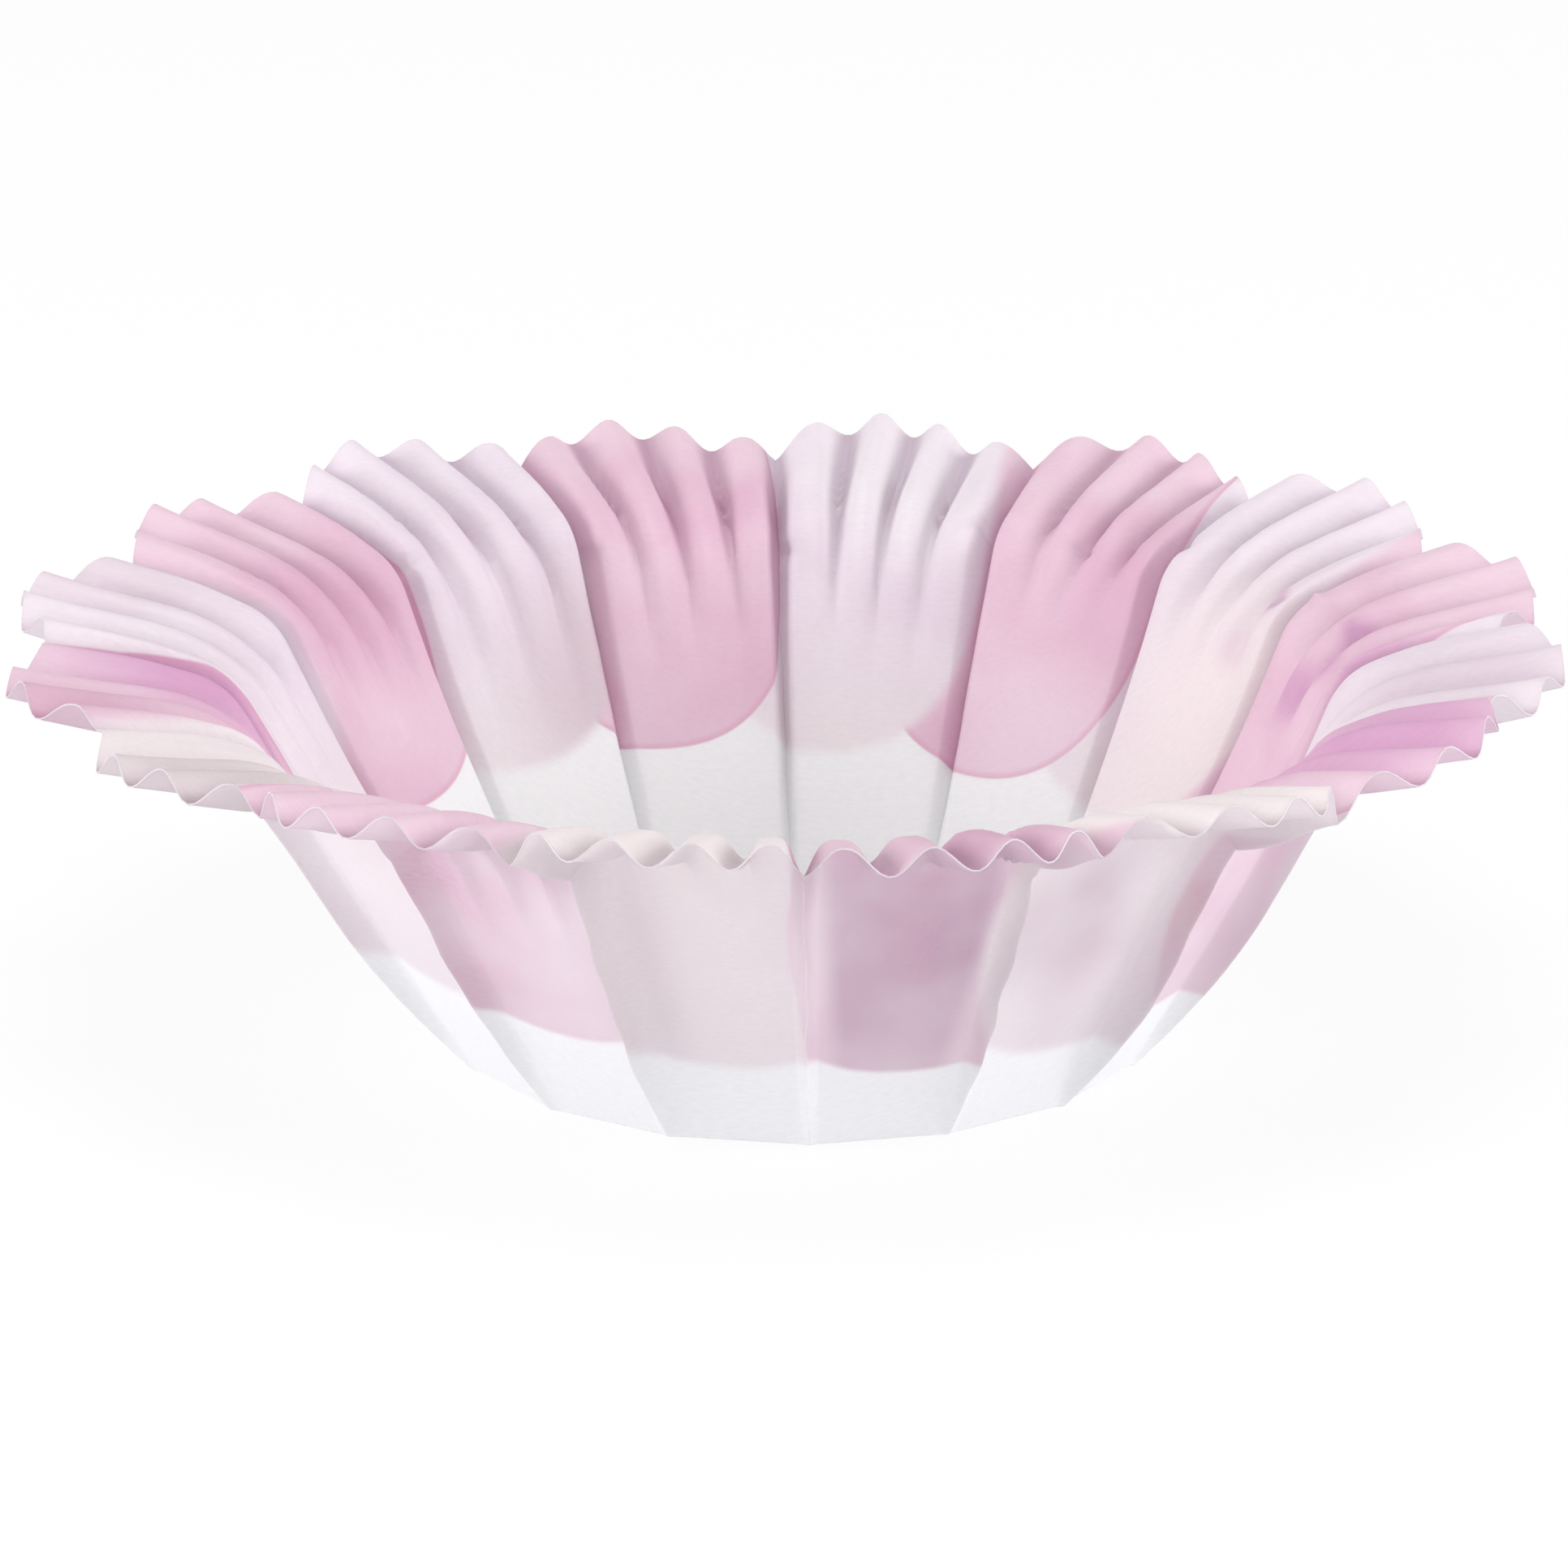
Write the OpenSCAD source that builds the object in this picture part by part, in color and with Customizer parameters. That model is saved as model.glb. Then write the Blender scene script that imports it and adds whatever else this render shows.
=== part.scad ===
// Cupcake liner: one round sheet of greaseproof paper with a scalloped edge, pressed in a die.
// The flat base has one straight edge for each petal. The wall gathers its spare paper in an
// outward pleat between petals. Above the bend the pleats open, and round crimps take it up.

/* [Base] */
// Distance across the flat base, from pleat to pleat
base_d = 50; // [40:1:64]
// Radius of the fold between the base and the wall
heel_r = 1; // [0.6:0.1:2]

/* [Wall] */
// Slope of the wall where it leaves the base, in degrees from the table
foot_angle = 55; // [40:1:62]
// Slope of the wall just under the bend, in degrees from the table
wall_angle = 64; // [56:1:78]
// Length of paper from the base's edge up to the bend
wall_l = 30.5; // [24:0.5:40]
// How flat each panel is where it leaves the base, from 0 for round to 1 for flat
panel_flat = 1; // [0:0.1:1]
// How flat each panel still is at the bend
panel_flat_top = 0.5; // [0:0.1:1]

/* [Flared rim] */
// Slope of the flared rim above the bend, in degrees from the table
rim_angle = 16; // [6:1:30]
// Length of paper from the bend to the edge, at the middle of a petal
rim_l = 15.2; // [12:0.2:22]
// How much further in the edge is cut between two petals
scallop = 4.3; // [0:0.1:6]
// Radius of the bend at the middle of a petal
bend_r = 12; // [6:0.5:14]
// Radius of the bend at a pleat, where the fold makes it sharp
pleat_bend_r = 2.5; // [1.5:0.5:5]

/* [Pleats] */
// Number of petals, with a pleat between each two
petals = 16; // [12:1:20]
// How far a pleat stands out of the wall at its deepest
pleat_d = 2.4; // [1:0.1:3]
// Length of wall over which a pleat grows to that depth
pleat_rise = 18; // [12:1:30]
// How far a pleat still stands out at the cut edge, where it has opened
pleat_edge_d = 0.1; // [0:0.1:0.6]
// Width of a pleat at the bend, across its mouth
pleat_w = 2.2; // [1.6:0.1:3]
// Width of a pleat at the base
pleat_foot_w = 0.7; // [0.5:0.1:1.2]

/* [Crimps] */
// Number of crimps across each petal
crimps = 4; // [3:1:5]
// Height of a crimp at the edge, from valley to peak
crimp_h = 1.7; // [0.6:0.1:2.2]
// Length of paper that the crimps run down, from the edge at a petal's middle
crimp_l = 26; // [18:1:34]

/* [Paper] */
// Thickness of the paper
paper_t = 0.1; // [0.08:0.01:0.3]

/* [Hidden] */

pitch = 360 / petals;
heel_t = heel_r * tan(foot_angle / 2);
heel_arc = heel_r * foot_angle * PI / 180;
turn = wall_angle - rim_angle;

// Lengths of paper, measured along it from where the base ends and its fold begins
bend_at = heel_t + wall_l;
edge_at = bend_at + rim_l;
notch_at = edge_at - scallop;
crimp_at = edge_at - crimp_l;

// Power of a pleat's flanks: above 1 it has a sharp crest and soft shoulders
flank_power = 1.35;

// Columns of the grid across a crimp and down a pleat's flank. The lower wall has no crimps, so
// it keeps only the flanks' columns and one down the middle of a petal.
crimp_columns = 6;
flank_columns = 3;
grid = crimps * crimp_columns;
rim_columns = [for (i = [0:grid - 1]) i];
wall_columns = [for (i = rim_columns) if (i <= flank_columns || i >= grid - flank_columns || i == grid / 2) i];

// Smooth step from 0 at x0 to 1 at x1
function ease(x, x0, x1) = let (t = min(1, max(0, (x - x0) / (x1 - x0)))) t * t * (3 - 2 * t);
function mix(a, b, share) = a + (b - a) * share;

// Where the paper is after s of its length, as distance from the axis, height and slope. It runs
// through stretches of [length, slope at the start, slope at the end], each straight or an arc.
function chord(t, turned) = abs(turned) < 0.01 ? t : t * sin(turned / 2) * 360 / (turned * PI);
function along(s, run, i, r, z) =
    let (
        t = min(s, run[i][0]),
        a = mix(run[i][1], run[i][2], t / run[i][0]),
        c = chord(t, a - run[i][1]),
        middle = (a + run[i][1]) / 2,
        end = [r + c * cos(middle), z + c * sin(middle), a]
    )
    t == s || i == len(run) - 1 ? end : along(s - t, run, i + 1, end[0], end[1]);
function meridian(s, radius) =
    let (
        bend_t = radius * tan(turn / 2),
        run = [
            [heel_arc, 0, foot_angle],
            [wall_l - heel_t - bend_t, foot_angle, wall_angle],
            [radius * turn * PI / 180, wall_angle, rim_angle],
            [edge_at, rim_angle, rim_angle]
        ]
    )
    s <= 0 ? [base_d / 2 - heel_t + s, 0, 0] : along(s, run, 0, base_d / 2 - heel_t, 0);

// Depth of a pleat and half of its width
function pleat_depth(s) =
    mix(pleat_d * sin(90 * min(1, max(0, s / pleat_rise))), pleat_edge_d, ease(s, bend_at, notch_at));
function pleat_half(s) = mix(pleat_foot_w, pleat_w, min(1, max(0, s / bend_at))) / 2;

// How far the paper stands out of its meridian, u of the way across a petal, at radius r
function relief(u, s, r) =
    let (x = min(u, 1 - u) * r * pitch * PI / 180, flank = max(0, 1 - x / pleat_half(s)))
    pleat_depth(s) * pow(flank, flank_power)
    + crimp_h / 2 * ease(s, crimp_at, notch_at) * cos(360 * crimps * u);

// A point in the middle of the paper, u of the way across petal k and s up from the base
function paper(k, u, s) =
    let (
        m = meridian(s, mix(pleat_bend_r, bend_r, sin(180 * u))),
        h = relief(u, s, m[0]),
        flat = mix(panel_flat, panel_flat_top, ease(s, 0, bend_at)) * (1 - ease(s, bend_at, edge_at)),
        flatten = 1 - flat * (1 - cos(pitch / 2) / cos(pitch * (u - 0.5))),
        r = m[0] * flatten + h * sin(m[2]),
        a = pitch * (k + u)
    )
    [r * cos(a), r * sin(a), m[1] - h * cos(m[2])];

// The way out of the cup, square to the paper. Where the paper folds, it is the way to the corner
// of a sheet of even thickness, so it is longer than 1.
step = 0.02;
function square_to(p, across, up) = let (n = cross(across - p, up - p)) n / norm(n);
function outward(k, u, s) =
    let (
        du = step / (base_d / 2 * pitch * PI / 180),
        p = paper(k, u, s),
        up = paper(k, u, s + step),
        right = square_to(p, paper(k, u + du, s), up),
        left = square_to(p, up, paper(k, u - du, s))
    )
    (right + left) / (1 + right * left);

// Rows of the grid, from the base to the edge
bend_half = bend_r * tan(turn / 2);
rows = [
    0, heel_arc,
    for (share = [0.25, 0.47, 0.68]) share * bend_at,
    bend_at - bend_half, bend_at, bend_at + bend_half,
    edge_at, edge_at
];
last = len(rows) - 1;
lower = [for (s = rows) if (s < bend_at - bend_half) s];
function columns(row) = row < len(lower) ? wall_columns : rim_columns;

// Length of paper at a row. The last two rows follow the scalloped edge.
function row_s(row, u) =
    let (edge = edge_at - scallop * pow(2 * u - 1, 2))
    row == last ? edge : row == last - 1 ? (rows[last - 2] + edge) / 2 : rows[row];

// Place of a grid column across the petal: even at the edge, drawn in to the pleats below it
function column_u(row, i) =
    let (
        even = i / grid,
        s = rows[row],
        flank = pleat_half(s) / (meridian(s, pleat_bend_r)[0] * pitch * PI / 180),
        from_pleat = min(i, grid - i),
        near = from_pleat <= flank_columns
            ? flank * from_pleat / flank_columns
            : mix(flank, 0.5, (from_pleat - flank_columns) / (grid / 2 - flank_columns)),
        drawn = i <= grid / 2 ? near : 1 - near
    )
    mix(drawn, even, max(0, row - last + 2) / 2);

// One face of the sheet as rings of points, side being 1 for the outside and -1 for the inside
function face_points(side) = [
    for (row = [0:last], k = [0:petals - 1], i = columns(row))
        let (
            u = column_u(row, i),
            s = row_s(row, u),
            n = row == 0 ? [0, 0, -1] : outward(k, u, s)
        )
        paper(k, u, s) + (n * side + [0, 0, 1]) * paper_t / 2
];

// Number of the point at grid column i of petal k in a row
function row_start(row) = row == 0 ? 0 : row_start(row - 1) + petals * len(columns(row - 1));
starts = [for (row = [0:last + 1]) row_start(row)];
function point(row, k, i) =
    let (set = columns(row), on = i < grid)
    starts[row] + ((on ? k : k + 1) % petals) * len(set) + (on ? search(i, set)[0] : 0);

// Triangles between a row and the next one up, as seen from outside. A column that the row above
// divides is fanned out.
function band(row) = [
    for (k = [0:petals - 1], j = [0:len(columns(row)) - 1])
        let (
            below = concat(columns(row), [grid]),
            i0 = below[j],
            i1 = below[j + 1],
            above = concat([for (i = columns(row + 1)) if (i >= i0 && i < i1) i], [i1]),
            split = above[floor((len(above) - 1) / 2)]
        )
        each concat(
            [[point(row, k, i0), point(row + 1, k, split), point(row, k, i1)]],
            [
                for (m = [0:len(above) - 2])
                    [
                        point(row, k, above[m] < split ? i0 : i1),
                        point(row + 1, k, above[m]),
                        point(row + 1, k, above[m + 1])
                    ]
            ]
        )
];

// The base is a fan about its centre
function fan(centre) = [
    for (k = [0:petals - 1], j = [0:len(columns(0)) - 1])
        let (ring = concat(columns(0), [grid]))
        [centre, point(0, k, ring[j]), point(0, k, ring[j + 1])]
];

// The cut edge joins the outside to the inside, whose points are numbered from other_side
function cut_edge(other_side) = [
    for (k = [0:petals - 1], i = columns(last))
        let (a = point(last, k, i), b = point(last, k, i + 1))
        each [[a, a + other_side, b], [b, a + other_side, b + other_side]]
];
function turned_over(faces, by) = [for (f = faces) [f[2] + by, f[1] + by, f[0] + by]];

module liner() {
    centre = starts[last + 1];
    outside = concat(fan(centre), [for (row = [0:last - 1]) each band(row)]);
    color("thistle")
        polyhedron(
            points = concat(face_points(1), [[0, 0, 0]], face_points(-1), [[0, 0, paper_t]]),
            faces = concat(outside, turned_over(outside, centre + 1), cut_edge(centre + 1)),
            convexity = 10
        );
}

liner();
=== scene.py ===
import math

import bpy
import numpy as np
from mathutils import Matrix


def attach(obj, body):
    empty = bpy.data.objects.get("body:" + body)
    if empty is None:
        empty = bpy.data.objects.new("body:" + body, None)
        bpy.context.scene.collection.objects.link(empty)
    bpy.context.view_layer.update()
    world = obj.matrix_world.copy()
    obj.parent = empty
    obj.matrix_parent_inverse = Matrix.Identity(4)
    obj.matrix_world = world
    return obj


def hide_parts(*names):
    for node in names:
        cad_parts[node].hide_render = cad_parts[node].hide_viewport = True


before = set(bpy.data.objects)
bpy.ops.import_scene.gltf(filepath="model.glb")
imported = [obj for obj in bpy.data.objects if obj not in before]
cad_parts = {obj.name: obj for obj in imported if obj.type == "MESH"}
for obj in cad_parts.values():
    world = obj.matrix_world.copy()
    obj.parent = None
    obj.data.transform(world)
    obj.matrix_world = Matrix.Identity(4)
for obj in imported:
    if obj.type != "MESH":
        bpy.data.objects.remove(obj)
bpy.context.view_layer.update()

# The paper liner: one round sheet of white greaseproof paper, 142 mm across, printed on its inner
# side and cut to sixteen petals. A heated die presses it, which leaves the base flat, gathers the
# wall in a pleat between each two petals, and crimps the flared rim four times across each petal.

# The flat blank, in millimetres. Places on it are given as paper out from the end of the flat base.
petals = 16
pitch = math.tau / petals
base_radius = 25.4
heel_radius = 1.0
wall_length = 30.3
rim_length = 15.2
scallop = 4.3
foot_angle = math.radians(57.6)
wall_angle = math.radians(62.8)
rim_angle = math.radians(16)
paper_thickness = 0.1

# The fold at the heel takes heel_half off the base and off the wall. Bend, edge and notches follow.
heel_half = heel_radius * math.tan(foot_angle / 2)
base_flat = base_radius - heel_half
heel_arc = heel_radius * foot_angle
bend_at = heel_half + wall_length
edge_at = bend_at + rim_length
notch_at = edge_at - scallop

# Rings of points lie closest where the paper turns, at the heel and over the bend.
columns_per_petal = 48
pleat_columns = 12
columns = petals * columns_per_petal
flat_ring_width = 12.0
bend_rings = (27.0, 34.5)
heel_step = 0.25
wall_step = 1.3
bend_step = 0.55
rim_step = 0.85


def spaced(start, end, step):
    """Even places past start up to end, about a step apart."""
    count = max(1, round((end - start) / step))
    return [start + (end - start) * i / count for i in range(1, count + 1)]


rings = (
    [-flat_ring_width, 0.0]
    + spaced(0, heel_arc, heel_step)
    + spaced(heel_arc, bend_rings[0], wall_step)
    + spaced(bend_rings[0], bend_rings[1], bend_step)
    + spaced(bend_rings[1], edge_at, rim_step)
)

# The blank is a disc drawn out ring by ring.
bpy.ops.object.select_all(action="DESELECT")
bpy.ops.mesh.primitive_circle_add(
    vertices=columns,
    radius=(base_flat + rings[0]) / 1000,
    fill_type="TRIFAN",
    location=(0, 0, 0),
)
liner = bpy.context.object
liner.name = "paper_liner"
liner.data.name = "paper_liner"
bpy.ops.object.mode_set(mode="EDIT")
bpy.ops.mesh.select_all(action="SELECT")
bpy.ops.mesh.region_to_loop()
for inner, outer in zip(rings, rings[1:]):
    stretch = (base_flat + outer) / (base_flat + inner)
    bpy.ops.mesh.extrude_edges_move(
        MESH_OT_extrude_edges_indiv={}, TRANSFORM_OT_translate={"value": (0, 0, 0)}
    )
    bpy.ops.transform.resize(value=(stretch, stretch, 1), center_override=(0, 0, 0))
bpy.ops.mesh.select_all(action="SELECT")
bpy.ops.mesh.normals_make_consistent(inside=False)
bpy.ops.object.mode_set(mode="OBJECT")

# Each point of the blank knows its ring and its column, counted from the pleat at +X.
blank = np.empty(len(liner.data.vertices) * 3)
liner.data.vertices.foreach_get("co", blank)
blank = blank.reshape(-1, 3) * 1000
from_centre = np.hypot(blank[:, 0], blank[:, 1])
ring = np.abs(from_centre[:, None] - (base_flat + np.array(rings))).argmin(axis=1)
column = np.rint(np.arctan2(blank[:, 1], blank[:, 0]) / math.tau * columns)
column = column.astype(int) % columns
middle = from_centre < 1
petal = column // columns_per_petal
along_petal = column % columns_per_petal

# What the die gives each pleat and each petal, in millimetres. No two of the sixteen come out
# alike. Every list runs anticlockwise from the pleat at +X and from the petal that follows it.

# How far the edge stands up, out and anticlockwise at each notch, and up and out at each petal,
# and how far a petal's first half is pressed down there and its second half lifted.
notch_rise = [0.5, 0.4, -0.2, 0.0, -0.4, 0.4, 0.3, 0.5, 0.4, 0.8, -0.5, 0.0, 0.4, 0.2, -1.2, 0.6]
notch_out = [-0.7, 0.0, 0.0, 0.0, 0.0, 0.0, 0.0, 0.3, 1.4, 0.7, -0.6, 0.0, 0.0, 0.0, 0.0, 0.0]
notch_turn = [0.0, 0.0, 0.2, -0.5, -0.2, -0.1, -0.3, 0.3, 0.0, 0.4, -0.4, 0.4, 0.0, 0.1, -0.2, 0.0]
petal_rise = [
    -0.6, -0.2, -0.7, -1.0, -1.1, -0.1, -0.7, -1.0,
    -1.3, -1.2, 0.1, 0.6, 0.2, 0.3, 0.2, -0.6,
]
petal_out = [0.0, 0.0, 0.0, 0.0, 0.0, 0.0, 0.0, 0.7, 0.3, -0.4, 0.0, 0.0, 0.0, 0.0, 0.0, 0.0]
petal_twist = [0.5, 0.5, 0.5, 0.5, 0.5, 0.5, 0.5, 0.1, 0.4, 0.3, 0.2, 0.0, 0.1, -0.3, 0.5, 0.5]

# The unevenness grows from uneven_from out to the edge, and a notch's share of it reaches over a
# tenth of each petal beside it. Besides, the rim leans to the left, by rim_lean at lean_height.
uneven_from = 20.0
notch_spread = 0.1
rim_lean = -0.95
lean_height = 28.6

# The crimps: their height at each petal's edge, how far they are shifted anticlockwise and how far
# they crowd towards the petal's middle, both on a ring of crimp_radius, and where they start, in
# the middle and beside the pleats.
crimps = 4
crimp_height = [1.8, 1.8, 1.7, 1.9, 1.7, 1.8, 1.8, 2.0, 1.8, 1.8, 1.8, 1.7, 1.8, 1.7, 1.8, 1.8]
crimp_shift = [-1.3, -0.5, -0.9, -0.3, -0.8, -0.5, -1.0, 0.3, 0.0, 1.8, 1.4, 0.8, 0.3, 0.0, -0.5, -1.6]
crimp_squeeze = [0.0, 0.5, 0.6, 0.7, 0.0, -0.4, 0.0, 0.0, 0.0, 0.0, 0.0, 0.0, 0.0, 0.0, 0.0, 0.0]
crimps_start = [
    18.0, 20.0, 23.0, 17.0, 16.0, 16.0, 16.0, 17.0,
    18.0, 23.0, 18.0, 24.0, 26.0, 26.0, 27.0, 18.0,
]
crimps_start_at_pleats = [18.0] * 9 + [20.0, 21.0, 21.0, 24.0, 26.0, 26.0, 22.0]
crimp_radius = 65.0

# Just past the bend they stand higher than at the edge, with grooves narrower than ridges.
crimps_full = 37.0
crimp_swell = 0.28
crimp_swell_from = 30.0
groove_power = 2.4

# The pleats: their depth, how far their crests are turned anticlockwise at the bend and wander
# lower down, and how many times wider than usual their anticlockwise shoulder is.
pleat_depth = [2.0, 2.0, 2.0, 2.0, 2.0, 1.8, 2.0, 2.0, 2.0, 2.0, 1.3, 1.8, 1.1, 1.5, 2.6, 2.2]
pleat_turn = [0.0, 0.0, 0.0, -0.3, 0.0, -0.6, 0.0, 0.0, 0.0, 0.0, 0.5, 0.3, 0.0, 0.0, 0.0, 0.0]
pleat_wander = [
    0.04, 0.04, 0.04, 0.03, 0.03, 0.04, 0.04, 0.04,
    0.04, 0.04, 0.1, 0.08, 0.08, 0.12, 0.08, 0.04,
]
shoulder = [1.0, 1.0, 1.0, 1.0, 1.0, 1.0, 1.0, 1.0, 1.0, 1.4, 1.5, 1.9, 1.0, 1.0, 1.0, 1.0]
pleat_full = 17.0
pleat_edge_depth = 0.1
pleat_width = 2.3
pleat_foot_width = 1.3
flank_power = 1.7
wander_waves = ((1.1, 2.3), (0.47, 4.1))
wander_grows = (3, 12)
wander_fades = (20, 33)

# The panels between them are flat at the foot and half as flat at the bend, which is sharp at a
# pleat and soft in the middle of a petal.
flat_at_foot = 1.0
flat_at_bend = 0.5
pleat_bend_radius = 2.4
petal_bend_radius = 12.0

# Small buckles at the bend, where the paper is forced: petal, share across it, paper out from the
# base, half width, half length, and how far it is pushed out, all but the share in millimetres.
buckles = (
    (5, 0.94, 30.6, 0.9, 0.5, 0.9),
    (4, 0.95, 29.8, 0.6, 0.6, -0.9),
    (3, 0.96, 28.6, 0.6, 0.6, 0.9),
    (3, 0.04, 32.0, 0.7, 0.5, 1.05),
    (2, 0.50, 31.2, 1.4, 0.45, 0.675),
    (2, 0.66, 28.0, 0.5, 1.8, 0.45),
    (1, 0.93, 32.7, 0.8, 0.6, 0.75),
    (1, 0.14, 31.2, 0.45, 0.45, 0.9),
    (1, 0.30, 29.0, 0.8, 1.6, 0.525),
    (0, 0.84, 32.4, 1.2, 0.5, -0.75),
    (0, 0.50, 33.0, 0.8, 0.5, -0.6),
    (0, 0.12, 29.6, 0.7, 0.9, 0.75),
    (0, 0.47, 26.4, 0.7, 0.8, 0.6),
    (7, 0.25, 28.4, 0.6, 1.2, 0.6),
    (8, 0.18, 31.0, 0.4, 2.6, 0.75),
    (10, 0.05, 27.0, 0.6, 0.5, -0.75),
    (11, 0.04, 30.5, 0.7, 0.6, -0.75),
    (13, 0.02, 28.0, 0.6, 0.7, -0.75),
)


def ease(x, start, end):
    """From 0 at start to 1 at end, level at both."""
    t = np.clip((x - start) / (end - start), 0, 1)
    return t * t * (3 - 2 * t)


def mix(a, b, share):
    return a + (b - a) * share


def nearest_pleat(k, u):
    """The number of the pleat beside the half of petal k that u lies in."""
    return np.where(u < 0.5, k, k + 1) % petals


def at_pleats(notches, petal_values, k, u):
    """A petal's own value, drawn over to that of a notch close to it."""
    notch = np.array(notches)[nearest_pleat(k, u)]
    own = np.array(petal_values)[k]
    return mix(own, notch, np.exp(-((np.minimum(u, 1 - u) / notch_spread) ** 2)))


def crimp_wave(k, u, s):
    """The crimps across petal k, from -1 on a ridge's top to 1 in a groove."""
    shift = np.array(crimp_shift)[k] * np.sin(np.pi * u)
    squeeze = np.array(crimp_squeeze)[k] * np.sin(math.tau * u)
    turn = math.tau * crimps * (u - (shift + squeeze) / (crimp_radius * pitch))
    sharp = mix(groove_power, 1.0, ease(s, bend_at + 4, edge_at))
    return 2 * ((1 + np.cos(turn)) / 2) ** sharp - 1


def pleat_half_width(s):
    return mix(pleat_foot_width, pleat_width, np.clip(s / bend_at, 0, 1)) / 2


def meridian(s, radius):
    """Distance from the axis, height and slope after s of paper, through a bend of that radius."""
    turn = wall_angle - rim_angle
    bend_half = radius * np.tan(turn / 2)
    r = base_flat + np.minimum(s, 0)
    z = np.zeros_like(s)
    slope = np.zeros_like(s)
    left = np.maximum(s, 0)
    stretches = (
        (heel_arc, 0.0, foot_angle),
        (wall_length - heel_half - bend_half, foot_angle, wall_angle),
        (radius * turn, wall_angle, rim_angle),
        (edge_at, rim_angle, rim_angle),
    )
    for length, start, end in stretches:
        t = np.minimum(left, length)
        turned = (end - start) * t / length
        chord = t * np.sinc(turned / math.tau)
        r = r + chord * np.cos(start + turned / 2)
        z = z + chord * np.sin(start + turned / 2)
        slope = np.where(left > 0, start + turned, slope)
        left = left - t
    return r, z, slope


def pushed_out(k, u, s, r, flank):
    """How far pleat, crimps and buckles push the paper out of the plain cup, square to its wall."""
    grown = np.sin(np.pi / 2 * np.clip(s / pleat_full, 0, 1))
    depth = np.array(pleat_depth)[nearest_pleat(k, u)] * grown
    depth = mix(depth, pleat_edge_depth, ease(s, bend_at - 1, notch_at))
    start = at_pleats(crimps_start_at_pleats, crimps_start, k, u)
    swell = crimp_swell * ease(s, crimp_swell_from, crimps_full) * (1 - ease(s, crimps_full, edge_at))
    wave = crimp_wave(k, u, s) * (1 + swell)
    out = depth * flank + np.array(crimp_height)[k] / 2 * ease(s, start, crimps_full) * wave
    for buckled, share, at, half_width, half_length, push in buckles:
        aside = (u - share) * r * pitch / half_width
        along = (s - at) / half_length
        out = out + (k == buckled) * push * np.exp(-(aside**2) - along**2)
    return out


def turned_aside(k, u, s, flank):
    """How far the paper is moved anticlockwise, by a pleat's wander and its turned crest."""
    pleat = nearest_pleat(k, u)
    waves = sum(np.sin(per_mm * s + per_pleat * pleat) for per_mm, per_pleat in wander_waves)
    wander = np.array(pleat_wander)[pleat] * flank * waves
    wander = wander * ease(s, *wander_grows) * (1 - ease(s, *wander_fades))
    crest = np.array(pleat_turn)[pleat] * ease(s, 0, bend_at) * (1 - ease(s, bend_at, notch_at))
    return wander + crest * (1 - 2 * np.minimum(u, 1 - u))


def pressed(k, u, s):
    """Where the die puts the paper at u of the way across petal k, s out from the base."""
    r, z, slope = meridian(s, mix(pleat_bend_radius, petal_bend_radius, np.sin(np.pi * u)))
    half_width = pleat_half_width(s) * np.where(u < 0.5, np.array(shoulder)[k], 1.0)
    flank = np.maximum(0, 1 - np.minimum(u, 1 - u) * r * pitch / half_width) ** flank_power
    out = pushed_out(k, u, s, r, flank)
    panel = mix(flat_at_foot, flat_at_bend, ease(s, 0, bend_at)) * (1 - ease(s, bend_at, edge_at))
    flatten = 1 - panel * (1 - math.cos(pitch / 2) / np.cos(pitch * (u - 0.5)))
    uneven = ease(s, uneven_from, notch_at)
    reach = r * flatten + out * np.sin(slope) + at_pleats(notch_out, petal_out, k, u) * uneven
    aside = turned_aside(k, u, s, flank) + at_pleats(notch_turn, [0.0] * petals, k, u) * uneven
    angle = pitch * (k + u) + aside / r
    rise = at_pleats(notch_rise, petal_rise, k, u) - np.array(petal_twist)[k] * np.sin(math.tau * u)
    height = z - out * np.cos(slope) + rise * uneven
    x = reach * np.cos(angle) + rim_lean * z / lean_height
    return np.stack([x, reach * np.sin(angle), height], axis=-1)


# Columns crowd into the pleats on the wall and are even at the edge.
s_ring = np.array(rings)[ring]
even = along_petal / columns_per_petal
pleat_circle = meridian(s_ring, np.full_like(s_ring, pleat_bend_radius))[0] * pitch
pleat_share = pleat_half_width(s_ring) / pleat_circle
from_pleat = np.minimum(along_petal, columns_per_petal - along_petal)
crowded = np.where(
    from_pleat <= pleat_columns,
    pleat_share * from_pleat / pleat_columns,
    mix(pleat_share, 0.5, (from_pleat - pleat_columns) / (columns_per_petal / 2 - pleat_columns)),
)
crowded = np.where(along_petal <= columns_per_petal / 2, crowded, 1 - crowded)
across = mix(crowded, even, ease(s_ring, bend_at, notch_at))

# The last few rings follow the scalloped cut.
cut = ease(s_ring, bend_at + 2, edge_at) * scallop * (2 * across - 1) ** 2
paper_s = s_ring - cut
points = pressed(petal, across, paper_s)
points[middle] = 0
liner.data.vertices.foreach_set("co", (points / 1000).ravel())

# The print lies on the flat sheet, so each point keeps its place there: its paper radius, and the
# angle that its share of the ring's length gives it.
sheet_size = 150.0
grid = np.full((len(rings), columns), -1)
grid[ring[~middle], column[~middle]] = np.flatnonzero(~middle)
sheet_angle = np.zeros(len(points))
for row in grid:
    steps = np.linalg.norm(points[np.roll(row, -1)] - points[row], axis=1)
    steps = steps.reshape(petals, columns_per_petal)
    share = (np.cumsum(steps, axis=1) - steps) / steps.sum(axis=1, keepdims=True)
    sheet_angle[row] = (pitch * (np.arange(petals)[:, None] + share)).ravel()
sheet_radius = np.where(middle, 0, base_flat + paper_s)
sheet_xy = np.stack([np.cos(sheet_angle), np.sin(sheet_angle)], -1) * sheet_radius[:, None]
loops = np.empty(len(liner.data.loops), dtype=int)
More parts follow.
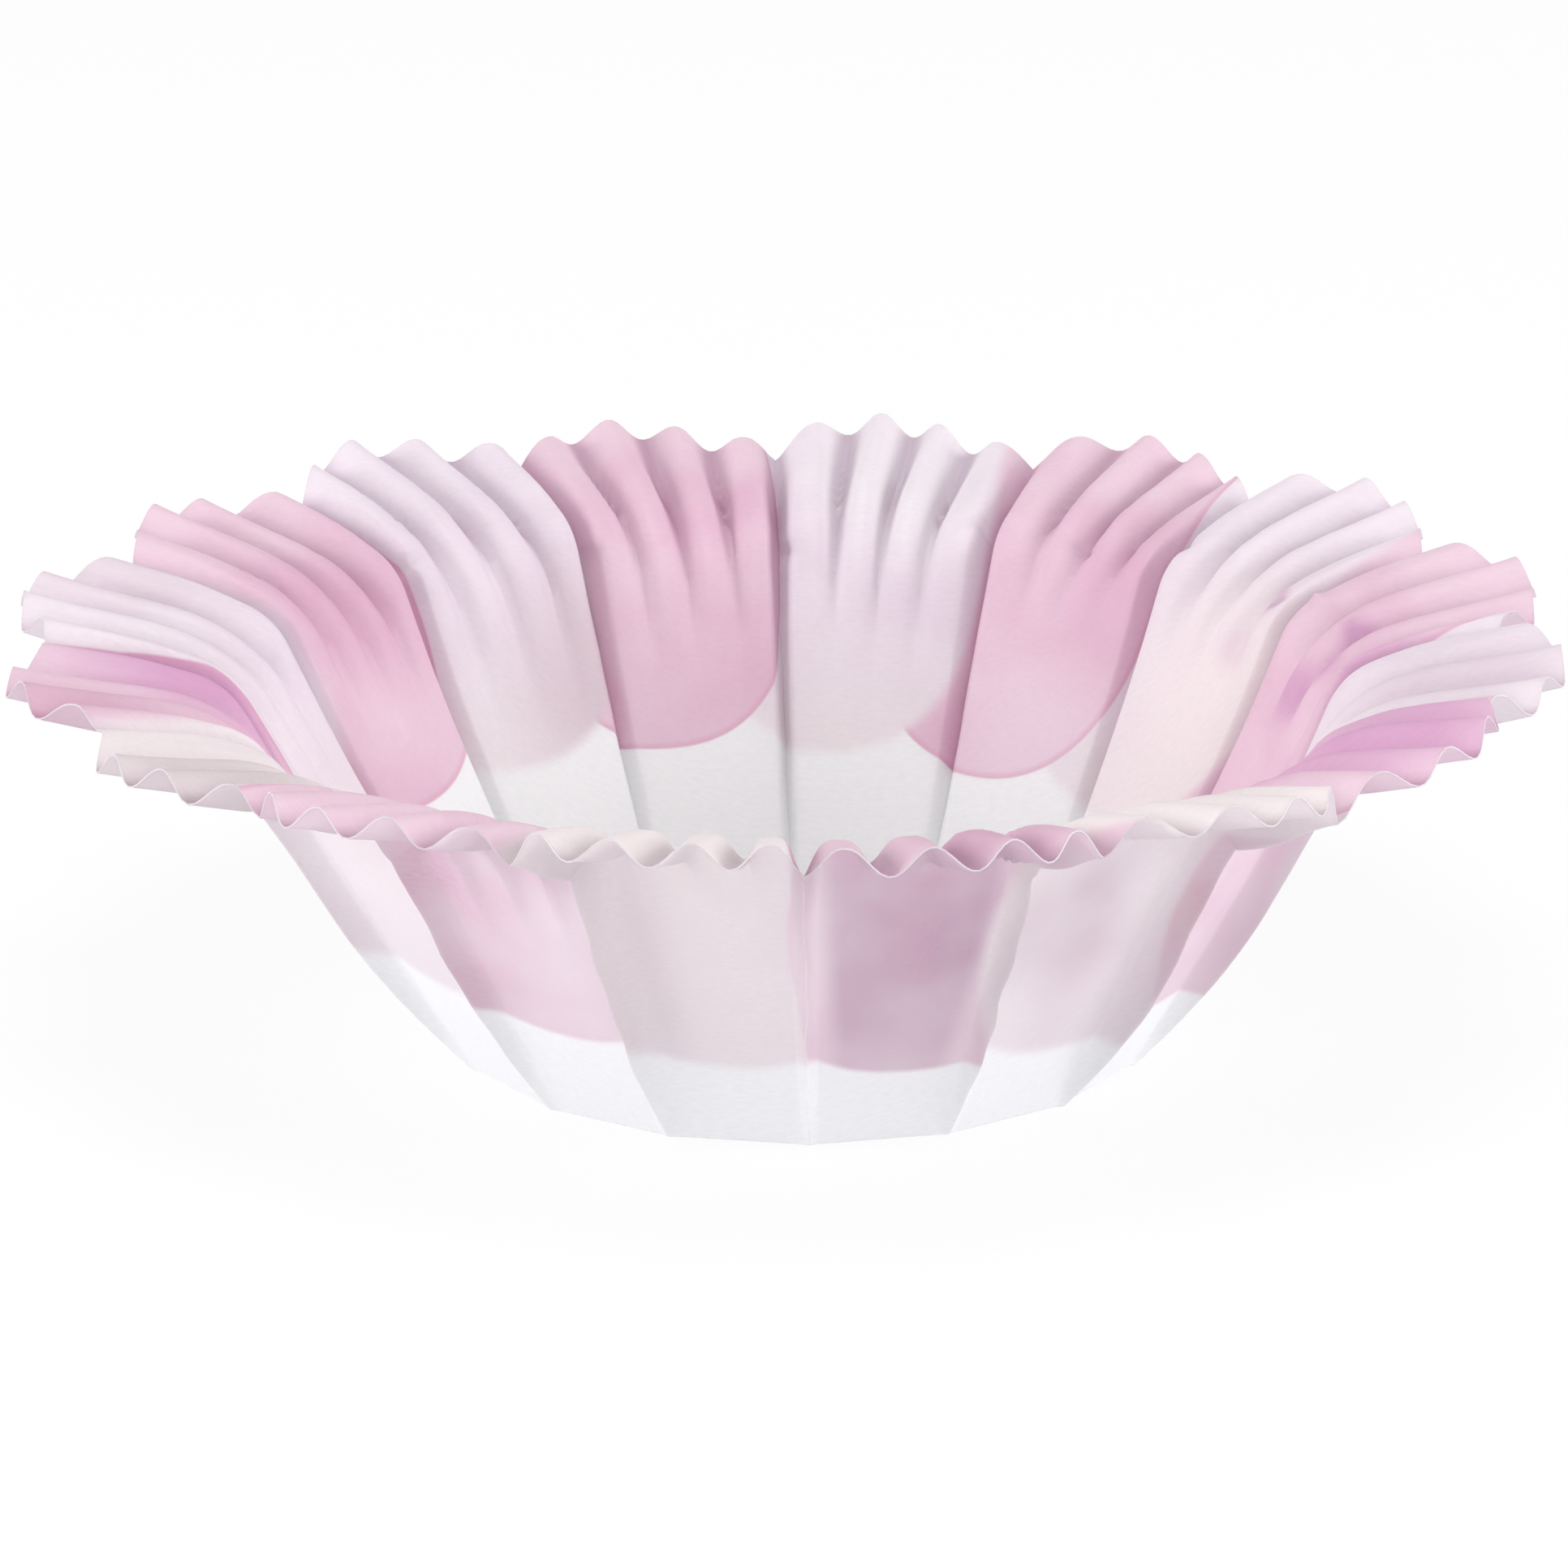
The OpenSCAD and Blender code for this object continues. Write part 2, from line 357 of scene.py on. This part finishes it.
liner.data.loops.foreach_get("vertex_index", loops)
sheet = liner.data.uv_layers.new(name="sheet")
sheet.data.foreach_set("uv", (0.5 + sheet_xy / sheet_size)[loops].ravel())

# Where the print deepens: at the pleats' crests, partly for the doubled paper and partly as painted
# shade, and in the grooves of the crimps, as painted shade.
crest_width = 1.4
to_pleat = np.minimum(across, 1 - across) * pitch * (base_flat + s_ring)
crest = np.clip(1 - to_pleat / crest_width, 0, 1)
crest = crest * ease(s_ring, 0, 4) * (1 - ease(s_ring, bend_at + 3, notch_at))
groove_shade = np.maximum(0, crimp_wave(petal, across, paper_s)) ** 2 * ease(s_ring, 27, 36)

# Where a printed petal lies over its neighbour, its edge is drawn in towards the rim, in shares of
# a petal. At three pleats the strip just clockwise of the crest is also lapped by the paper.
drawn_in = [
    0.02, 0.02, 0.02, 0.035, 0.0, 0.07, 0.04, 0.07,
    0.1, 0.1, 0.03, 0.07, 0.03, 0.14, 0.03, 0.05,
]
lap = [0.0, 0.0, 0.0, 0.0, 0.0, 0.0, 0.0, 0.0, 0.0, 0.0, 0.5, 0.1, 0.1, 0.0, 0.0, 0.0]
drawn = np.array(drawn_in)[nearest_pleat(petal, across)]
drawn = drawn * np.clip((sheet_radius - 46) / 16, 0, 1)
lapped = np.array(lap)[(petal + 1) % petals] * (across >= 0.5)
drawn = drawn + lapped * (1 - ease(sheet_radius, 55, 61))

# One panel at the front is darkened with painted shade over its print, but for its edges, standing for
# its shaded inside seen through the paper. Its two neighbours have a little painted shade: petal,
# strength, place across it and half width there.
shaded_panel = 12
shaded_neighbours = ((13, 0.4, 0.5, 0.25), (11, 0.3, 0.2, 0.12))
panel_shade = (petal == shaded_panel) * ease(to_pleat, 1.0, 3.4)
for neighbour, strength, at, half_width in shaded_neighbours:
    panel_shade = panel_shade + strength * (petal == neighbour) * np.exp(-(((across - at) / half_width) ** 2))
panel_shade = panel_shade * (0.4 + 0.6 * ease(s_ring, 4, 16)) * (1 - 0.5 * ease(s_ring, 26, 34))

for name, values in (
    ("fold", crest),
    ("groove_shade", groove_shade),
    ("drawn_in", drawn),
    ("panel_painted_shade", panel_shade),
):
    attribute = liner.data.attributes.new(name, "FLOAT", "POINT")
    attribute.data.foreach_set("value", values)
liner.data.update()

# The paper's thickness makes the printed inner side, the bare back outside and the cut edge.
for name in ("greaseproof_paper_printed", "greaseproof_paper_back", "greaseproof_paper_cut_edge"):
    liner.data.materials.append(bpy.data.materials.new(name))
thickness = liner.modifiers.new("thickness", "SOLIDIFY")
thickness.thickness = paper_thickness / 1000
thickness.offset = 0
thickness.material_offset = 1
thickness.material_offset_rim = 2
bpy.ops.object.modifier_apply(modifier="thickness")
bpy.ops.object.shade_smooth_by_angle(angle=math.radians(60))
lowest = min(v.co.z for v in liner.data.vertices)
for v in liner.data.vertices:
    v.co.z -= lowest


def colour(code):
    """An sRGB hex colour as linear values."""
    parts = [int(code[i : i + 2], 16) / 255 for i in (0, 2, 4)]
    return [p / 12.92 if p <= 0.04045 else ((p + 0.055) / 1.055) ** 2.4 for p in parts] + [1.0]


def add(tree, kind, *links, **settings):
    """Adds a node. Links are nodes, sockets or values for the inputs in use, None to skip one."""
    node = tree.nodes.new(kind)
    for key, value in settings.items():
        setattr(node, key, value)
    in_use = [socket for socket in node.inputs if socket.enabled]
    for socket, link in zip(in_use, links):
        if isinstance(link, bpy.types.Node):
            link = next(output for output in link.outputs if output.enabled)
        if isinstance(link, bpy.types.NodeSocket):
            tree.links.new(link, socket)
        elif link is not None:
            socket.default_value = link
    return node


# The artwork, in millimetres on the flat sheet: sixteen overlapping petals with round inner ends,
# pink and white by turns, each lying over its neighbour clockwise. The sheet went into the die a
# little off the print's centre and turned.
print_centre = (-2.0, 2.2)
print_turn = math.radians(-7.8)
petal_end = 35.7
petal_half_width = 17.8
petal_round = 40.0
petal_power = 2.6
pink_inks = ("f1cde0", "f8e2ed")
pink_outline = "e9b2cb"
lilac_inks = ("f4e9f2", "fcf5fb")
creamy_ink = "fdf8f7"
white_petal_blur = 0.7
ink_cloud_size = 25 / 2

# Soft round patches of deeper or paler colour on the print: on a pink petal or not, place on the
# print, reach, strength and colour. Two pink petals turn magenta at the sides of the liner. Most
# patches are ink; three, marked below, are painted light or shade.
ink_and_light_patches = (
    (True, -54.0, -10.0, 14.0, 0.6, "e3a6d6"),
    (True, 60.0, -27.0, 14.0, 0.6, "e3a6d6"),
    (True, -60.0, -29.0, 11.0, 0.7, "e6bfd3"),
    (True, -25.6, -40.5, 6.5, 0.6, "dda0c0"),
    (True, -20.5, -33.5, 6.0, 0.6, "dda0c0"),
    (True, 24.0, -43.0, 8.0, 0.6, "d9a6c6"),
    (True, -46.0, 23.0, 10.0, 0.35, "e2aecb"),
    # Painted highlight: the lower inside of a pink petal at the back right, paler where more light
    # falls.
    (True, 20.0, 33.0, 10.0, 0.8, "fbe8f3"),
    (True, 26.0, -62.0, 9.0, 0.7, "e6bed4"),
    (False, 66.0, -4.0, 11.0, 0.7, "ecdfe8"),
    (False, -64.0, 10.0, 12.0, 0.7, "efe3ea"),
    (True, 56.9, 16.8, 2.5, 0.6, "d9a0cf"),
    (True, 54.4, 14.2, 2.5, 0.6, "d9a0cf"),
    (True, 50.5, 15.3, 3.5, 0.5, "d9a0cf"),
    (True, 59.3, 7.1, 7.0, 0.5, "e3a8d6"),
    (False, 40.0, 24.0, 20.0, 0.9, "fdf5f5"),
    (False, 48.2, 30.4, 2.0, 0.6, "e0b8d8"),
    (False, 43.3, 29.5, 3.0, 0.35, "ead0e2"),
    (False, -46.0, -48.0, 15.0, 0.9, "e8dfe1"),
    # Painted shade: grey over the middle of the panel right of the front.
    (False, 30.5, -38.0, 9.0, 0.9, "dccbd2"),
    (False, 6.0, 60.0, 13.0, 0.8, "fdf9fc"),
    (False, -21.0, 36.0, 13.0, 0.9, "e9dae1"),
    (True, -12.0, -43.0, 9.0, 0.7, "f7e6f0"),
    (True, 8.0, -46.0, 9.0, 0.7, "fbeef4"),
    (True, 38.5, -32.0, 5.0, 0.9, "ecb3c4"),
    # Partly paler ink and partly a painted highlight, beside the crest at the front right.
    (True, 40.5, -25.0, 5.5, 0.8, "f8ecf3"),
)


def beyond_petal(tree, radius, aside):
    """Millimetres outside the outline of a petal whose axis is that many pitches aside."""
    angle = add(tree, "ShaderNodeMath", aside, pitch, operation="MULTIPLY")
    sine = add(tree, "ShaderNodeMath", angle, operation="SINE")
    x = add(tree, "ShaderNodeMath", radius, sine, operation="MULTIPLY")
    x = add(tree, "ShaderNodeMath", x, operation="ABSOLUTE")
    cosine = add(tree, "ShaderNodeMath", angle, operation="COSINE")
    y = add(tree, "ShaderNodeMath", radius, cosine, operation="MULTIPLY")
    y = add(tree, "ShaderNodeMath", petal_end + petal_round, y, operation="SUBTRACT")
    y = add(tree, "ShaderNodeMath", y, 0.0, operation="MAXIMUM")
    reaches, slopes = [], []
    for side, half in ((x, petal_half_width), (y, petal_round)):
        share = add(tree, "ShaderNodeMath", side, half, operation="DIVIDE")
        reaches.append(add(tree, "ShaderNodeMath", share, petal_power, operation="POWER"))
        slope = add(tree, "ShaderNodeMath", share, petal_power - 1, operation="POWER")
        slope = add(tree, "ShaderNodeMath", slope, half, operation="DIVIDE")
        slopes.append(add(tree, "ShaderNodeMath", slope, slope, operation="MULTIPLY"))
    reach = add(tree, "ShaderNodeMath", *reaches, operation="ADD")
    reach = add(tree, "ShaderNodeMath", reach, 1 / petal_power, operation="POWER")
    reach = add(tree, "ShaderNodeMath", reach, 1.0, operation="SUBTRACT")
    steep = add(tree, "ShaderNodeMath", *slopes, operation="ADD")
    steep = add(tree, "ShaderNodeMath", steep, operation="SQRT")
    return add(tree, "ShaderNodeMath", reach, steep, operation="DIVIDE")


def petal_print(tree, edge_blur, outline_strength):
    """The tint that the artwork gives the paper, where it covers it, and the place on it."""
    sheet_place = add(tree, "ShaderNodeUVMap", uv_map="sheet")
    centre = [0.5 + c / sheet_size for c in print_centre] + [0.0]
    turn = (0, 0, print_turn)
    scale = (1 / sheet_size,) * 3
    place = add(tree, "ShaderNodeMapping", sheet_place, centre, turn, scale, vector_type="TEXTURE")
    radius = add(tree, "ShaderNodeVectorMath", place, operation="LENGTH")
    parts = add(tree, "ShaderNodeSeparateXYZ", place)
    x, y = parts.outputs["X"], parts.outputs["Y"]

    # Every point lies between the axes of two petals, a pink one and a white one.
    around = add(tree, "ShaderNodeMath", y, x, operation="ARCTAN2")
    count = add(tree, "ShaderNodeMath", around, pitch, operation="DIVIDE")
    past_lower = add(tree, "ShaderNodeMath", count, operation="FRACT")
    past_upper = add(tree, "ShaderNodeMath", past_lower, 1.0, operation="SUBTRACT")
    drawn = add(tree, "ShaderNodeAttribute", attribute_name="drawn_in").outputs["Fac"]
    past_upper = add(tree, "ShaderNodeMath", past_upper, drawn, operation="SUBTRACT")
    whole = add(tree, "ShaderNodeMath", count, operation="FLOOR")
    odd = add(tree, "ShaderNodeMath", whole, 0.5, operation="MULTIPLY")
    odd = add(tree, "ShaderNodeMath", odd, operation="FRACT")
    upper_is_pink = add(tree, "ShaderNodeMath", odd, 0.25, operation="LESS_THAN")
    lower_is_pink = add(tree, "ShaderNodeMath", 1.0, upper_is_pink, operation="SUBTRACT")

    # The pink is uneven, as ink is on soft paper. The white ink is lilac, and creamy at the petals'
    # inner ends and at the front.
    cloud = add(tree, "ShaderNodeTexNoise", place, 1 / ink_cloud_size, 3.0, 0.5)
    cloud = add(tree, "ShaderNodeMapRange", cloud, 0.3, 0.7)
    towards_rim = add(tree, "ShaderNodeMapRange", radius, 55.0, 66.0, 0.0, 0.6)
    cloud = add(tree, "ShaderNodeMath", cloud, towards_rim, operation="ADD", use_clamp=True)
    pink = add(tree, "ShaderNodeMix", cloud, *[colour(ink) for ink in pink_inks], data_type="RGBA")
    lilac = add(tree, "ShaderNodeMix", cloud, *[colour(ink) for ink in lilac_inks], data_type="RGBA")
    front = add(tree, "ShaderNodeMapRange", y, 5.0, -45.0)
    inner_end = add(tree, "ShaderNodeMapRange", radius, 47.0, 38.0, 0.0, 0.6)
    creamy = add(tree, "ShaderNodeMath", front, inner_end, operation="MAXIMUM")
    white = add(tree, "ShaderNodeMix", creamy, lilac, colour(creamy_ink), data_type="RGBA")
    inks_and_light = {True: pink, False: white}
    for on_pink, patch_x, patch_y, reach, strength, code in ink_and_light_patches:
        spot = (patch_x, patch_y, 0.0)
        away = add(tree, "ShaderNodeVectorMath", place, spot, operation="DISTANCE")
        strong = add(
            tree, "ShaderNodeMapRange", away, reach, reach / 5, 0.0, strength,
            interpolation_type="SMOOTHSTEP",
        )
        inks_and_light[on_pink] = add(
            tree, "ShaderNodeMix", strong, inks_and_light[on_pink], colour(code), data_type="RGBA"
        )
    pink, white = inks_and_light[True], inks_and_light[False]

    # The upper petal covers the lower one. A pink petal ends in a crisp darker line, and a white
    # one fades away.
    tint = colour("ffffff")
    covered = 0.0
    for past, is_pink in ((past_lower, lower_is_pink), (past_upper, upper_is_pink)):
        beyond = beyond_petal(tree, radius, past)
        ink = add(tree, "ShaderNodeMix", is_pink, white, pink, data_type="RGBA")
        line = add(tree, "ShaderNodeMix", is_pink, white, colour(pink_outline), data_type="RGBA")
        near_line = add(tree, "ShaderNodeMapRange", beyond, -0.6, -0.1, 0.0, outline_strength)
        ink = add(tree, "ShaderNodeMix", near_line, ink, line, data_type="RGBA")
        blur = add(tree, "ShaderNodeMapRange", is_pink, 0.0, 1.0, white_petal_blur, edge_blur)
        inside = add(tree, "ShaderNodeMath", beyond, blur, operation="DIVIDE")
        inside = add(tree, "ShaderNodeMapRange", inside, 1.0, -1.0, interpolation_type="SMOOTHSTEP")
        tint = add(tree, "ShaderNodeMix", inside, tint, ink, data_type="RGBA")
        covered = add(tree, "ShaderNodeMath", inside, covered, operation="MAXIMUM")
    return tint, covered, place


# The paper's felt. Its fibres are some 0.03 mm wide, too fine to show, so they are drawn as streaks
# that are 0.8 mm long and 0.3 mm wide, with a relief of 0.02 mm.
fibre_length = 5 / 6
fibre_width = fibre_length / 3
fibre_relief = 0.02
fibre_strength = 0.08
light_through = 0.45


def fibre_streaks(tree, place):
    """The streaks of the felt, along the sheet's grain."""
    grain = add(tree, "ShaderNodeMapping", place, None, None, (1 / fibre_length, 1 / fibre_width, 1.0))
    return add(tree, "ShaderNodeTexNoise", grain, 1.0, 3.0, 0.6)


def finish_paper(tree, inked, fibres, roughness):
    """One side of the sheet. Thin paper glows with the light that falls on its other side."""
    shader = tree.nodes["Principled BSDF"]
    shader.inputs["Roughness"].default_value = roughness
    relief = add(tree, "ShaderNodeBump", fibre_strength, fibre_relief / 1000, None, fibres)
    tree.links.new(inked.outputs["Result"], shader.inputs["Base Color"])
    tree.links.new(relief.outputs["Normal"], shader.inputs["Normal"])
    through = add(tree, "ShaderNodeBsdfTranslucent", inked, relief)
    both = add(tree, "ShaderNodeMixShader", light_through, shader, through)
    tree.links.new(both.outputs[0], tree.nodes["Material Output"].inputs["Surface"])


# The printed side: uncoated white paper with matt ink soaked in. At the crests the print is deeper,
# partly for the doubled paper and partly as painted shade, and in the grooves painted shade deepens
# and greys it.
printed = bpy.data.materials["greaseproof_paper_printed"]
printed.use_nodes = True
tree = printed.node_tree
tint, covered, place = petal_print(tree, edge_blur=0.12, outline_strength=0.55)
fibres = fibre_streaks(tree, place)
paper = add(tree, "ShaderNodeMix", fibres, colour("e8e7e7"), colour("f5f4f4"), data_type="RGBA")
at_crest = add(tree, "ShaderNodeAttribute", attribute_name="fold").outputs["Fac"]
groove_shade_share = add(tree, "ShaderNodeAttribute", attribute_name="groove_shade").outputs["Fac"]
ink_and_shade_share = add(tree, "ShaderNodeMath", at_crest, groove_shade_share, operation="MAXIMUM")
# Painted shade, with the doubled paper's ink at the crests: the print is deepened at crests and in
# grooves.
ink_and_shade_deepening = add(tree, "ShaderNodeMapRange", ink_and_shade_share, 0.3, 0.9, 1.0, 1.25)
tint = add(tree, "ShaderNodeGamma", tint, ink_and_shade_deepening)
# Painted shade: the grooves of the crimps are greyed.
shade = add(tree, "ShaderNodeMix", groove_shade_share, colour("ffffff"), colour("eae2e9"), data_type="RGBA")
tint = add(tree, "ShaderNodeMix", 1.0, tint, shade, data_type="RGBA", blend_type="MULTIPLY")
inked = add(tree, "ShaderNodeMix", 1.0, paper, tint, data_type="RGBA", blend_type="MULTIPLY")
finish_paper(tree, inked, fibres, roughness=0.6)

# The bare back: smoother white paper with the print showing through, cloudy with the fibres. It shows
# more towards the rim, and painted shade turns it mauve on the panel at the front and a little darker
# on its two neighbours.
soak_cloud_size = 25 / 3
back = bpy.data.materials["greaseproof_paper_back"]
back.use_nodes = True
tree = back.node_tree
tint, covered, place = petal_print(tree, edge_blur=0.4, outline_strength=0.0)
fibres = fibre_streaks(tree, place)
paper = add(tree, "ShaderNodeMix", fibres, colour("eaebee"), colour("f8f9fb"), data_type="RGBA")
cloud = add(tree, "ShaderNodeTexNoise", place, 1 / soak_cloud_size, 2.0, 0.5)
soaked = add(tree, "ShaderNodeMapRange", cloud, 0.35, 0.65, 0.1, 0.4)
radius = add(tree, "ShaderNodeVectorMath", place, operation="LENGTH")
outer = add(tree, "ShaderNodeMapRange", radius, 36.0, 50.0, 0.5, 1.0)
soaked = add(tree, "ShaderNodeMath", soaked, outer, operation="MULTIPLY")
speckle = add(tree, "ShaderNodeMapRange", fibres, 0.35, 0.65, 0.6, 1.4)
soaked = add(tree, "ShaderNodeMath", soaked, speckle, operation="MULTIPLY")
shown = add(tree, "ShaderNodeGamma", tint, soaked)
# Painted shade over the print of the front panel and its two neighbours, mauve where it is strongest.
panel_shade = add(tree, "ShaderNodeAttribute", attribute_name="panel_painted_shade").outputs["Fac"]
panel_shade = add(tree, "ShaderNodeMath", panel_shade, covered, operation="MULTIPLY")
patchy = add(tree, "ShaderNodeMapRange", cloud, 0.3, 0.6, 0.8, 1.05)
panel_shade = add(tree, "ShaderNodeMath", panel_shade, patchy, operation="MULTIPLY")
dimmed = add(tree, "ShaderNodeMix", covered, colour("ffffff"), colour("f8f2f4"), data_type="RGBA")
mauve_shade = add(tree, "ShaderNodeMix", panel_shade, dimmed, colour("e0d1db"), data_type="RGBA")
shown = add(tree, "ShaderNodeMix", 1.0, shown, mauve_shade, data_type="RGBA", blend_type="MULTIPLY")
inked = add(tree, "ShaderNodeMix", 1.0, paper, shown, data_type="RGBA", blend_type="MULTIPLY")
finish_paper(tree, inked, fibres, roughness=0.55)

# The cut edge shows the bare core of the sheet, rough from the knife and a little grey.
edge = bpy.data.materials["greaseproof_paper_cut_edge"]
edge.use_nodes = True
shader = edge.node_tree.nodes["Principled BSDF"]
shader.inputs["Base Color"].default_value = colour("c8c1c6")
shader.inputs["Roughness"].default_value = 0.7

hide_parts("liner")
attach(liner, "root")

# The studio: a white floor that runs on behind, soft lamps at both sides, above and in front, and
# a camera a little over the liner, as one looks at a small dish on a table. All in metres.


def plainly_seen(tree):
    """1 for a ray that sees the studio, straight or by way of gloss or glass, 0 for a lighting one."""
    rays = add(tree, "ShaderNodeLightPath")
    straight, glossy = rays.outputs["Is Camera Ray"], rays.outputs["Is Glossy Ray"]
    seen = add(tree, "ShaderNodeMath", straight, glossy, operation="MAXIMUM")
    through = rays.outputs["Is Transmission Ray"]
    return add(tree, "ShaderNodeMath", seen, through, operation="MAXIMUM")


# The floor glows nearly white to the eye, and a share of it is plain paint that takes the shadow.
bpy.ops.mesh.primitive_plane_add(size=6, location=(0, 0, 0))
floor = bpy.context.object
floor.name = "floor"
floor_material = bpy.data.materials.new("white_floor")
floor_material.use_nodes = True
tree = floor_material.node_tree
paint = tree.nodes["Principled BSDF"]
paint.inputs["Base Color"].default_value = colour("f4f4f4")
paint.inputs["Roughness"].default_value = 0.8
glow = add(tree, "ShaderNodeEmission", colour("ffffff"), 1.0)
glow_share = add(tree, "ShaderNodeMapRange", plainly_seen(tree), 0.0, 1.0, 0.45, 0.9)
both = add(tree, "ShaderNodeMixShader", glow_share, paint, glow)
tree.links.new(both.outputs[0], tree.nodes["Material Output"].inputs["Surface"])
floor.data.materials.append(floor_material)

world = bpy.data.worlds.new("studio")
bpy.context.scene.world = world
world.use_nodes = True
tree = world.node_tree
sky = tree.nodes["Background"]
sky.inputs["Color"].default_value = colour("ffffff")
level = add(tree, "ShaderNodeMapRange", plainly_seen(tree), 0.0, 1.0, 0.25, 1.0)
tree.links.new(level.outputs[0], sky.inputs["Strength"])

# Each lamp's name, place and size in metres, and its power in watts.
lamps_aim = (0.0, 0.0, 0.015)
for name, spot, size, power in (
    ("lamp_left", (-0.9, -0.2, 0.3), 0.45, 5.9),
    ("lamp_right", (0.9, -0.2, 0.3), 0.45, 6.0),
    ("lamp_top", (0.0, -0.2, 1.1), 0.6, 7.2),
    ("lamp_front", (0.0, -1.0, 0.12), 0.5, 3.4),
):
    lamp = bpy.data.lights.new(name, "AREA")
    lamp.size = size
    lamp.energy = power
    holder = bpy.data.objects.new(name, lamp)
    bpy.context.scene.collection.objects.link(holder)
    holder.location = spot
    x, y, z = (to - at for to, at in zip(lamps_aim, spot))
    holder.rotation_euler = (math.atan2(math.hypot(x, y), -z), 0, math.atan2(-x, y))

# The camera looks at its target from a distance, at an angle up and an angle aside.
camera_target = (-0.00122, 0.0, 0.0183)
camera_distance = 0.5475
camera_up = math.radians(18.134)
camera_aside = math.radians(-1.25)
camera_data = bpy.data.cameras.new("camera")
camera_data.sensor_width = 36
camera_data.lens = 174.4
camera_data.clip_start = 0.01
camera = bpy.data.objects.new("camera", camera_data)
bpy.context.scene.collection.objects.link(camera)
ahead = camera_target[1] - camera_distance * math.cos(camera_up)
camera.location = (
    camera_target[0] * math.cos(camera_aside) - ahead * math.sin(camera_aside),
    camera_target[0] * math.sin(camera_aside) + ahead * math.cos(camera_aside),
    camera_target[2] + camera_distance * math.sin(camera_up),
)
camera.rotation_euler = (math.pi / 2 - camera_up, 0, camera_aside)
bpy.context.scene.camera = camera
bpy.context.scene.view_settings.view_transform = "Standard"
